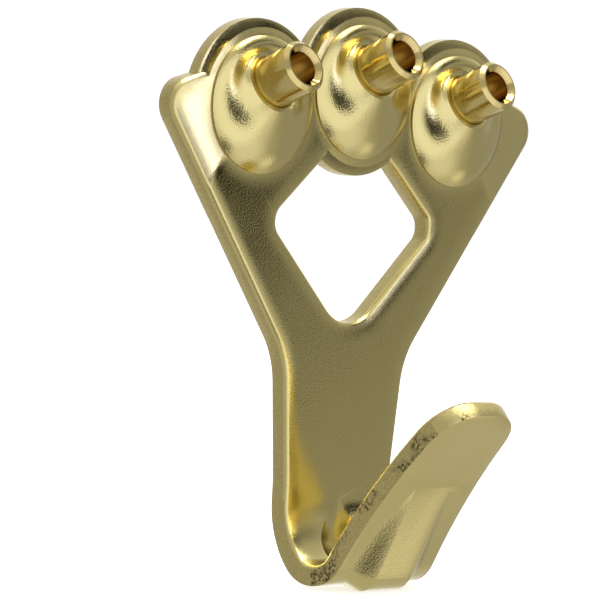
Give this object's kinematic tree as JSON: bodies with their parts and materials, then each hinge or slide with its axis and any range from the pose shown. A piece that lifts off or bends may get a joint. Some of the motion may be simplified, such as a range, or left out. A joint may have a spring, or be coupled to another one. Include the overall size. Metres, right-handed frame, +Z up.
{
  "type": "picture hook",
  "caption": "Sheet-metal wall picture hook: a pressed plate with domed, tilted nail guides above a kite-shaped window and an upturned lip stiffened at its bend.",
  "frame": {"origin": "on the wall plane, at the middle of the stem's flat back face", "axes": "+Z up the wall, +Y into the wall, +X to the right seen from the front"},
  "size_m": [0.0482, 0.0206, 0.0545],
  "materials": {
    "plated_sheet": "satin brass plating over pressed steel",
    "turned_brass": "bright turned brass"
  },
  "bodies": {
    "root": {"hook_plate": "plated_sheet", "left_nail_guide": "turned_brass", "middle_nail_guide": "turned_brass", "right_nail_guide": "turned_brass"}
  },
  "joints": []
}
